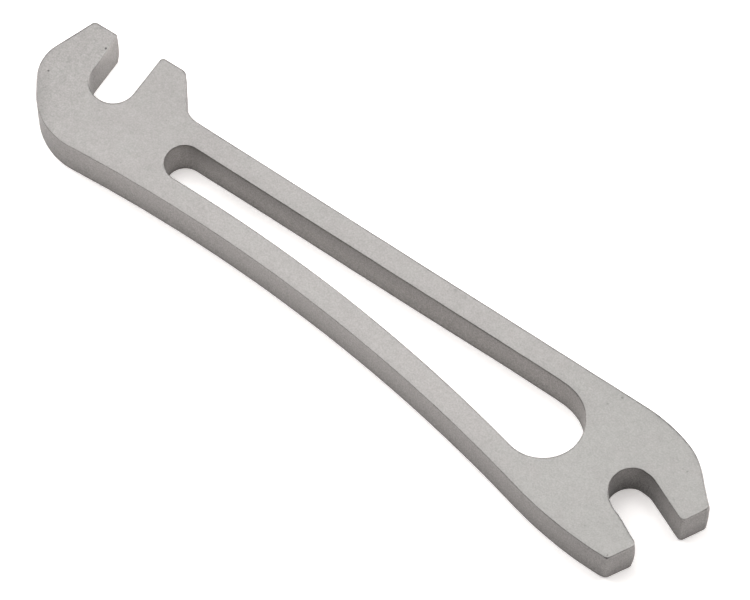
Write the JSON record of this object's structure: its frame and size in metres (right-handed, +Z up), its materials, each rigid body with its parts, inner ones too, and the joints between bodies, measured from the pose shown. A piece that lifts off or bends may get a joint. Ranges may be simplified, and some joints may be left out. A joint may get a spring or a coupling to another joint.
{
  "type": "turnbuckle wrench",
  "caption": "Flat one-piece plate wrench with a square open jaw at one end, a slanted open jaw at the other and a tapered lightening slot, for turning small turnbuckles.",
  "frame": {"origin": "middle of the plate's bounding box in plan, on the lower broad face", "axes": "+X along the straight back edge towards the slanted jaw, +Y towards the back edge and the square jaw's mouth, +Z up out of the upper broad face"},
  "size_m": [0.0914, 0.0218, 0.0065],
  "materials": {
    "blasted_metal": "bare metal, matt from blasting and tumbling, no coating; the alloy isn't visible and is taken as steel"
  },
  "bodies": {
    "root": {"wrench_body": "blasted_metal"}
  },
  "joints": []
}
